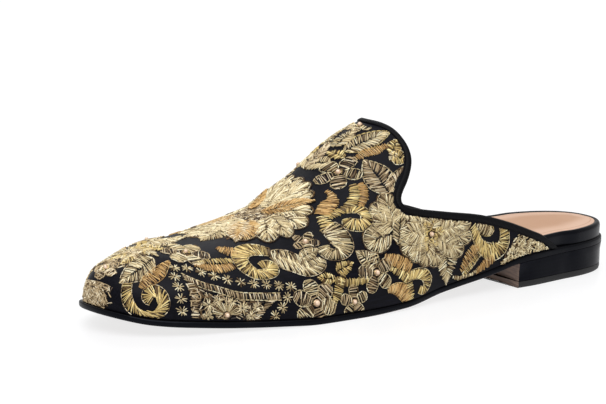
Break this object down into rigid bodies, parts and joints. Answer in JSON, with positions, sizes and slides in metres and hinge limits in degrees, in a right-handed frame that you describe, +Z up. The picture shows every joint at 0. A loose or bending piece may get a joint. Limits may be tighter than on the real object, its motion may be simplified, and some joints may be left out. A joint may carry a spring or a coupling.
{
  "type": "slip-on shoe",
  "caption": "Backless left slip-on shoe with a hollow embroidered satin upper and high tongue, bound topline, leather sock, thin outsole and low polished heel.",
  "frame": {"origin": "on the floor, under the middle of the shoe's bounding box", "axes": "toe towards -X, heel towards +X, outer (lateral) side of the left foot towards -Y, +Z up"},
  "size_m": [0.2976, 0.098, 0.0859],
  "materials": {
    "satin": "black satin, covered in gold thread embroidery",
    "gold_thread": "lustrous gold, cream and copper coloured thread on the satin",
    "bead": "small glossy beads at the flower centres",
    "binding": "black folded satin band",
    "sock_leather": "smooth natural tan leather",
    "polished_black": "polished black",
    "sole_leather": "black edge, brown underneath",
    "rubber": "matt black"
  },
  "bodies": {
    "root": {"upper": "satin", "topline_binding": "binding", "insole_sock": "sock_leather", "insole_board": "polished_black", "outsole": "sole_leather", "heel_block": "polished_black", "heel_top_piece": "rubber"}
  },
  "joints": []
}
